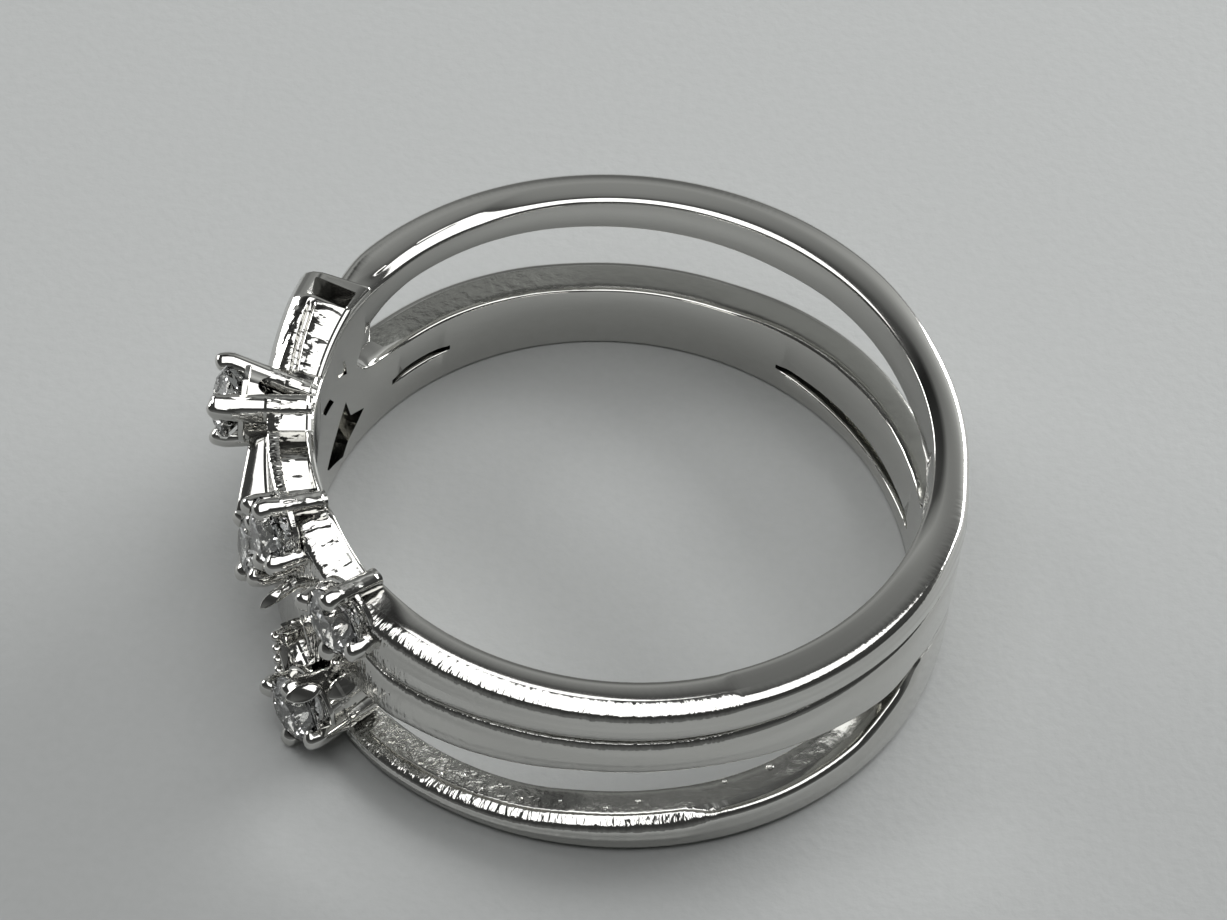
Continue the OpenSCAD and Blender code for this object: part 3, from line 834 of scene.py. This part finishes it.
# Cast grains left on the lower band's top. columns: angle, radius, size
GRAINS = [(303.2, 8.49, 0.11), (294.4, 8.45, 0.07), (278.4, 8.66, 0.08), (272.8, 8.86, 0.07),
          (264.9, 8.71, 0.05), (258.1, 8.83, 0.08), (254.2, 8.62, 0.06), (251.0, 8.90, 0.09),
          (247.0, 8.70, 0.10), (243.5, 8.95, 0.09)]


def grains():
    """Small rounded grains on the cut face of the lower band."""
    top = np.array([edges_at(a)[0, 0] for a, _, _ in GRAINS]) + MID_Z
    return [button(polar(r, a, z), size, GRAIN_TILT) for (a, r, size), z in zip(GRAINS, top)]


def shells(faces):
    """Groups of faces that hang together by their edges."""
    left, groups = set(faces), []
    while left:
        waiting, shell = [left.pop()], []
        while waiting:
            face = waiting.pop()
            shell.append(face)
            for edge in face.edges:
                for other in edge.link_faces:
                    if other in left:
                        left.remove(other)
                        waiting.append(other)
        groups.append(shell)
    return groups


def fill_hollows(piece):
    """Removes closed hollows inside the metal, whose volume is negative."""
    with edited(piece) as work:
        for shell in shells(work.faces):
            if sum(face.calc_center_median().dot(face.normal) * face.calc_area() for face in shell) < 0:
                bmesh.ops.delete(work, geom=shell, context="FACES")


# Angle between two faces from which the edge between them stays sharp
SHARP_A = 36


def silver_ring():
    """The whole cast part as one closed mesh."""
    ring = combine(bands(), [box_bar(), link_bar()], "UNION")
    combine(ring, [*pit(), recess()], "DIFFERENCE")
    parts = [*(rod(*row) for row in RODS), *bar_beads(), *grains()]
    parts += [slant_bar(*bar) for bar in SLANT_BARS.values()]
    parts += [pad(*row) for row in PADS]
    for name, setting in SETTINGS.items():
        arches = (0, 0, FAR_ARCH, 0) if name == "far" else (0, 0, 0, 0)
        parts += [prong(setting, setting.turn + 90 * k, arch) for k, arch in enumerate(arches)]
        parts += [rail(setting), *cups(setting)]
    combine(ring, parts, "UNION")
    combine(ring, [seat(setting) for setting in SETTINGS.values()], "DIFFERENCE")
    fill_hollows(ring)
    ring.data.shade_smooth()
    ring.data.set_sharp_from_angle(angle=math.radians(SHARP_A))
    tool = ring.modifiers.new("flat_faces", "WEIGHTED_NORMAL")
    tool.keep_sharp = True
    return apply(ring)


# Stones

# Rings of facet corners between the table and the girdle and between the girdle and the tip: shares of the
# stone's radius
MID_SHARE = 0.80
LOW_SHARE = 0.28


def brilliant(name, setting):
    """Round brilliant: a table with star, bezel and upper facets round it; main and lower facets below."""
    chord = math.cos(math.pi / 8)
    table_z = GIRDLE_H + CROWN_H
    mid_z = table_z - CROWN_H * (MID_SHARE * chord - TABLE_SHARE) / (1 - TABLE_SHARE)
    low_z = PAVILION_H * (LOW_SHARE * chord - 1)

    def ring_of(share, z, count, offset):
        turns = (np.arange(count) + offset) * 2 * math.pi / count
        return [(STONE_R * share * math.cos(t), STONE_R * share * math.sin(t), z) for t in turns]

    points = ring_of(TABLE_SHARE, table_z, 8, 0) + ring_of(MID_SHARE, mid_z, 8, 0.5)
    points += ring_of(1, GIRDLE_H, 16, 0) + ring_of(1, 0, 16, 0) + ring_of(LOW_SHARE, low_z, 8, 0.5)
    points.append((0, 0, -PAVILION_H))
    mids, upper, lower, lows, culet = 8, 16, 32, 48, 56
    faces = [tuple(range(8))]
    for k in range(8):
        j, g = (k + 1) % 8, 2 * k
        nxt, before = (g + 2) % 16, (k - 1) % 8
        faces += [(k, mids + k, j), (k, mids + before, upper + g, mids + k),
                  (mids + k, upper + g, upper + g + 1), (mids + k, upper + g + 1, upper + nxt),
                  (lows + k, lower + g + 1, lower + g), (lows + k, lower + nxt, lower + g + 1),
                  (culet, lows + k, lower + g, lows + before)]
    for g in range(16):
        j = (g + 1) % 16
        faces.append((upper + g, lower + g, lower + j, upper + j))
    c, s = cos_sin(setting.turn)
    placed = [(x * c - y * s, x * s + y * c, z - TIP_H) for x, y, z in points]
    piece = make(name, at_tips(setting, placed), faces)
    outward(piece)
    return piece


# Materials. Lengths are in millimetres.

POLISHED = (0.63, 0.625, 0.60, 1)
CAST = (0.43, 0.43, 0.405, 1)
# Colour of the painted shade in corners and under the settings
PAINTED_SHADE = (0.12, 0.12, 0.115, 1)
# Least and greatest roughness of the polished metal, and roughness of the cast faces
POLISHED_ROUGH = (0.05, 0.12)
CAST_ROUGH = 0.18
# Height from the top of the ring down to which there are no cast faces
CAST_DROP = 0.6
# Painted shade in corners and under the settings: reach of the occlusion, its range from shaded to clean
# metal, and the shares there
SHADE_REACH = 0.6
SHADE_RANGE = (0.08, 0.5, 0.4, 1.0)
# Noise textures: lumps a millimetre along three axes, and detail. Marks and dents lie on the unrolled bands.
MARKS = ((8.0, 2.2, 1.5), 2.0)
WAVES = ((0.9, 0.9, 0.9), 2.0)
CAST_GRAIN = ((4.0, 4.0, 4.0), 4.0)
DENTS = ((3.4, 1.7, 1.7), 1.5)
CLOUDS = ((0.7, 0.7, 0.7), 1.0)
FLOOR_GRAIN = ((3.5, 3.5, 3.5), 3.0)
# Depths of the bumps
MARKS_DEPTH = 0.04
CAST_DEPTH = 0.08
DENTS_DEPTH = 0.07
FLOOR_DEPTH = 0.1
# Zones of the silver's surface: first and last place of a change, and the values there
ZONES = {
    # Least upward part of a cast face's normal, by X, and radius in metres up to which faces are cast, by Y
    "cast_level": (-4.5, -3.5, 0.985, 0.9),
    "cast_radius": (-1.0, 0.0, 8.98 * MM, 9.2 * MM),
    # Marks: on the outside, on the near side and the head, and hardly on the far side
    "marks_x": (3.3, 3.8, 1.0, 0.12),
    "marks_y": (1.0, 4.0, 1.0, 0.1),
    "marks_inner": (8.9, 9.3, 0.03, 1.0),
    "marks_outer": (9.52, 9.60, 1.0, 0.0),
    # Cast grain: rough next to the head, smoother along the near side and smooth on the far side
    "grain_x": (-4.0, -1.0, 1.0, 0.15),
    "grain_y": (0.0, 3.0, 1.0, 0.35),
    # Dents: on the tops of the head's bars, apart from the borders of the recess
    "dents_x": (-6.4, -5.8, 1.0, 0.0),
    "dents_y": (3.1, 3.6, 1.0, 0.0),
    "dents_z": (5.0, 5.3, 0.0, 1.0),
    "dents_inner": (8.42, 8.48, 0.0, 1.0),
    # Radius in metres up to which there are dents, by Y
    "dents_radius": (1.0, 1.4, 9.15 * MM, 9.8 * MM),
}
STONE_TONES = ((0.88, 0.91, 0.93, 1), (0.95, 0.93, 0.90, 1))
STONE_IOR = 2.0
FLOOR_TONES = ((0.39, 0.40, 0.396, 1), (0.425, 0.436, 0.432, 1))
FLOOR_ROUGH = 0.7
FLOOR_BUMP = 0.15


def new_material(name):
    material = bpy.data.materials.new(name)
    material.use_nodes = True
    tree = material.node_tree
    return material, tree, tree.nodes["Principled BSDF"]


def feed(tree, made, inputs):
    """Sets a node's sockets, by name or number, to values or to the outputs of other nodes."""
    for key, value in inputs.items():
        if isinstance(value, bpy.types.NodeSocket):
            tree.links.new(value, made.inputs[key])
        else:
            made.inputs[key].default_value = value


def node(tree, kind, inputs, **settings):
    """Adds a node and feeds it."""
    made = tree.nodes.new(kind)
    for key, value in settings.items():
        setattr(made, key, value)
    feed(tree, made, inputs)
    return made


def math_node(tree, operation, *values):
    return node(tree, "ShaderNodeMath", dict(enumerate(values)), operation=operation).outputs[0]


def product(tree, *values):
    """All values multiplied."""
    result = values[0]
    for value in values[1:]:
        result = math_node(tree, "MULTIPLY", result, value)
    return result


def ramp(tree, value, first, last, at_first, at_last):
    """Value mapped from one range to another, held beyond its ends."""
    ranges = {0: value, 1: first, 2: last, 3: at_first, 4: at_last}
    return node(tree, "ShaderNodeMapRange", ranges).outputs[0]


def mix(tree, share, first, second):
    """Two colours mixed by a share."""
    return node(tree, "ShaderNodeMix", {0: share, 6: first, 7: second}, data_type="RGBA").outputs[2]


def noise_at(tree, place, lumps, detail):
    """Noise texture over a place in metres."""
    scale = tuple(count / MM for count in lumps)
    scaled = node(tree, "ShaderNodeMapping", {0: place, 3: scale}).outputs[0]
    return node(tree, "ShaderNodeTexNoise", {"Vector": scaled, "Scale": 1.0, "Detail": detail}).outputs[0]


def bump(tree, height, depth, strength=1.0, under=None):
    """Normal of a bumpy surface, on top of another normal if there is one."""
    inputs = {"Strength": strength, "Distance": depth * MM, "Height": height}
    if under:
        inputs["Normal"] = under
    return node(tree, "ShaderNodeBump", inputs).outputs[0]


def separate(tree, vector):
    """The three parts of a vector."""
    return node(tree, "ShaderNodeSeparateXYZ", {0: vector}).outputs


def object_place(tree):
    return node(tree, "ShaderNodeTexCoord", {}).outputs["Object"]


def silver_material():
    """Polished silver: fine marks across the bands, rough cast faces where the openings were cut, and painted
    shade in corners and under the settings.
    """
    material, tree, shader = new_material("polished_silver")
    place = object_place(tree)
    x, y, z = separate(tree, place)
    squares = math_node(tree, "ADD", product(tree, x, x), product(tree, y, y))
    radius = math_node(tree, "POWER", squares, 0.5)
    along = product(tree, math_node(tree, "ARCTAN2", y, x), BORE_R * MM)
    unrolled = node(tree, "ShaderNodeCombineXYZ", {0: along, 1: radius, 2: z}).outputs[0]

    def zone(name, value):
        """Value of a zone at a place."""
        first, last, at_first, at_last = ZONES[name]
        return ramp(tree, value, first * MM, last * MM, at_first, at_last)

    # Cast faces look up and lie on the bands below the upper rim
    upward = separate(tree, node(tree, "ShaderNodeNewGeometry", {}).outputs["Normal"])[2]
    facing_up = math_node(tree, "GREATER_THAN", upward, zone("cast_level", x))
    below = math_node(tree, "LESS_THAN", z, (RING_W - CAST_DROP) * MM)
    on_wall = math_node(tree, "LESS_THAN", radius, zone("cast_radius", y))
    cast = product(tree, facing_up, below, on_wall)

    # Painted shade: the base colour darkens in the corners and under the settings, where the metal is
    # occluded
    open_share = node(tree, "ShaderNodeAmbientOcclusion", {"Distance": SHADE_REACH * MM}, samples=6,
                      only_local=True).outputs["AO"]
    tone = mix(tree, ramp(tree, open_share, *SHADE_RANGE), PAINTED_SHADE, mix(tree, cast, POLISHED, CAST))
    gloss = ramp(tree, noise_at(tree, place, *WAVES), 0.0, 1.0, *POLISHED_ROUGH)
    rough = node(tree, "ShaderNodeMix", {0: cast, 2: gloss, 3: CAST_ROUGH}).outputs[0]

    marks = product(tree, noise_at(tree, unrolled, *MARKS), zone("marks_x", x), zone("marks_y", y),
                    zone("marks_inner", radius), zone("marks_outer", radius))
    marked = bump(tree, marks, MARKS_DEPTH)
    grain = product(tree, noise_at(tree, place, *CAST_GRAIN), cast, zone("grain_x", x), zone("grain_y", y))
    grained = bump(tree, grain, CAST_DEPTH, under=marked)
    on_top = math_node(tree, "LESS_THAN", radius, zone("dents_radius", y))
    dents = product(tree, noise_at(tree, unrolled, *DENTS), on_top, zone("dents_x", x), zone("dents_y", y),
                    zone("dents_z", z), zone("dents_inner", radius))
    dented = bump(tree, dents, DENTS_DEPTH, under=grained)
    feed(tree, shader, {"Base Color": tone, "Metallic": 1.0, "Roughness": rough, "Normal": dented})
    return material


def stone_material():
    """Clear cut stone with a faint cool tint that varies from place to place."""
    material, tree, shader = new_material("clear_stone")
    tint = mix(tree, noise_at(tree, object_place(tree), *CLOUDS), *STONE_TONES)
    feed(tree, shader, {"Base Color": tint, "Roughness": 0.0, "IOR": STONE_IOR, "Transmission Weight": 1.0})
    return material


def floor_material():
    """Pale grey sheet with a very fine grain."""
    material, tree, shader = new_material("pale_floor")
    grain = noise_at(tree, object_place(tree), *FLOOR_GRAIN)
    feed(tree, shader, {"Base Color": mix(tree, grain, *FLOOR_TONES), "Roughness": FLOOR_ROUGH,
                        "Normal": bump(tree, grain, FLOOR_DEPTH, strength=FLOOR_BUMP)})
    return material


def wear(piece, material):
    """Gives all of a piece one material."""
    piece.data.materials.clear()
    piece.data.materials.append(material)
    for polygon in piece.data.polygons:
        polygon.material_index = 0


# Stage: floor, camera, lights. Lengths are in millimetres, turns in degrees, power in watts.

FLOOR_SIZE = 3000

# The photograph's view, fitted to its outlines: elevation, roll, distance, and offsets of the view's centre
ELEVATION = 50.45
ROLL = 5.56
DISTANCE = 108.63
SHIFT_RIGHT = -0.1358
SHIFT_UP = 1.0723
# Focal length and width of the photograph in pixels, and width of the sensor
FOCAL_PX = 4000
PHOTO_W = 1227
SENSOR_W = 36

# Lamps. columns: name, place, point that it faces, width and length, power
LAMPS = [
    ("overhead", (-30, -12, 250), (-30, -12, 0), (160, 248), 0.29),
    ("overhead_side", (96, 30, 250), (96, 30, 0), (108, 180), 0.125),
    ("window_left", (-250, 130, 103), (0, 0, 0), (140, 110), 0.40),
    ("window_right", (205, 191, 103), (0, 0, 0), (200, 120), 0.85),
]

# Brightness of the surroundings by the angle over the far horizon, up and over to the near one
WORLD_LEVELS = [(1, 0.25), (15, 0.16), (30, 0.18), (38, 0.32), (44, 0.40), (48, 0.33), (52, 0.22), (58, 0.10),
                (62, 0.07), (110, 0.05), (140, 0.05), (160, 0.12), (179, 0.18)]
# Share of the bright sides and of the dark left part, by the same angle
SIDE_LEVELS = [(10, 0.0), (22, 1.0), (40, 1.0), (50, 0.0)]
SHADE_LEVELS = [(37, 0.0), (42, 1.0), (58, 1.0), (62, 0.0)]
# and by the part of the direction to the right: first and last place of the change, and the values there
SIDE_RIGHT = (0.05, 0.35, 0.0, 0.45)
SIDE_LEFT = (-0.35, -0.05, 0.12, 0.0)
SHADE_LEFT = (-0.26, -0.12, 0.85, 0.0)
WORLD_TINT = (0.98, 1.0, 0.985)


def add_floor():
    half = FLOOR_SIZE / 2
    corners = [(-half, -half, 0), (half, -half, 0), (half, half, 0), (-half, half, 0)]
    floor = make("floor", corners, [(0, 1, 2, 3)])
    wear(floor, floor_material())


def add_camera():
    """Camera at the photograph's view."""
    elevation, roll = math.radians(ELEVATION), math.radians(ROLL)
    back = Vector((0, -math.cos(elevation), math.sin(elevation)))
    right = Vector((1, 0, 0))
    up = Vector((0, math.sin(elevation), math.cos(elevation)))
    turned_right = math.cos(roll) * right + math.sin(roll) * up
    turned_up = -math.sin(roll) * right + math.cos(roll) * up
    camera = new_object("camera", bpy.data.cameras.new("camera"))
    centre = Vector((0, 0, MID_Z)) + SHIFT_RIGHT * turned_right + SHIFT_UP * turned_up
    axes = Matrix((turned_right, turned_up, back)).transposed().to_4x4()
    camera.matrix_world = Matrix.Translation((centre + DISTANCE * back) * MM) @ axes
    camera.data.sensor_width = SENSOR_W
    camera.data.lens = SENSOR_W * FOCAL_PX / PHOTO_W
    camera.data.clip_start, camera.data.clip_end = 0.005, 10
    bpy.context.scene.camera = camera


def add_lamp(name, place, target, size, power):
    """Soft rectangular lamp."""
    data = bpy.data.lights.new(name, "AREA")
    data.shape = "RECTANGLE"
    data.size, data.size_y = (s * MM for s in size)
    data.energy = power
    lamp = new_object(name, data)
    lamp.location = Vector(place) * MM
    lamp.rotation_mode = "QUATERNION"
    lamp.rotation_quaternion = (Vector(place) - Vector(target)).to_track_quat("Z", "Y")


def grey_stops(tree, turn, levels):
    """Grey by a share of half a turn, from a table of degrees and levels."""
    blend = node(tree, "ShaderNodeValToRGB", {0: turn})
    stops = blend.color_ramp.elements
    for at, grey in levels:
        stop = stops.new(at / 180)
        stop.color = (grey, grey, grey, 1)
    stops.remove(stops[0])
    stops.remove(stops[-1])
    return blend.outputs[0]


def add_world():
    """Studio surroundings: far wall with bright sides and a dark left part, dark ceiling, dim near side."""
    world = bpy.data.worlds.new("studio")
    world.use_nodes = True
    bpy.context.scene.world = world
    tree = world.node_tree
    x, y, z = separate(tree, node(tree, "ShaderNodeTexCoord", {}).outputs["Generated"])
    turn = math_node(tree, "DIVIDE", math_node(tree, "ARCTAN2", z, y), math.pi)
    beside = math_node(tree, "ADD", ramp(tree, x, *SIDE_RIGHT), ramp(tree, x, *SIDE_LEFT))
    sides = product(tree, beside, grey_stops(tree, turn, SIDE_LEVELS))
    shade = product(tree, ramp(tree, x, *SHADE_LEFT), grey_stops(tree, turn, SHADE_LEVELS))
    level = math_node(tree, "ADD", grey_stops(tree, turn, WORLD_LEVELS), sides)
    level = product(tree, level, math_node(tree, "SUBTRACT", 1.0, shade))
    parts = {k: product(tree, level, share) for k, share in enumerate(WORLD_TINT)}
    feed(tree, tree.nodes["Background"], {"Color": node(tree, "ShaderNodeCombineColor", parts).outputs[0]})


def main():
    add_camera()
    silver = silver_ring()
    wear(silver, silver_material())
    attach(silver, "root")
    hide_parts("ring_body")
    clear = stone_material()
    for place, setting in SETTINGS.items():
        stone = brilliant(f"brilliant_{place}", setting)
        wear(stone, clear)
        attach(stone, "root")
        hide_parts(f"stone_{place}")
    add_floor()
    add_world()
    for lamp in LAMPS:
        add_lamp(*lamp)
    bpy.context.scene.view_settings.view_transform = "Standard"


main()
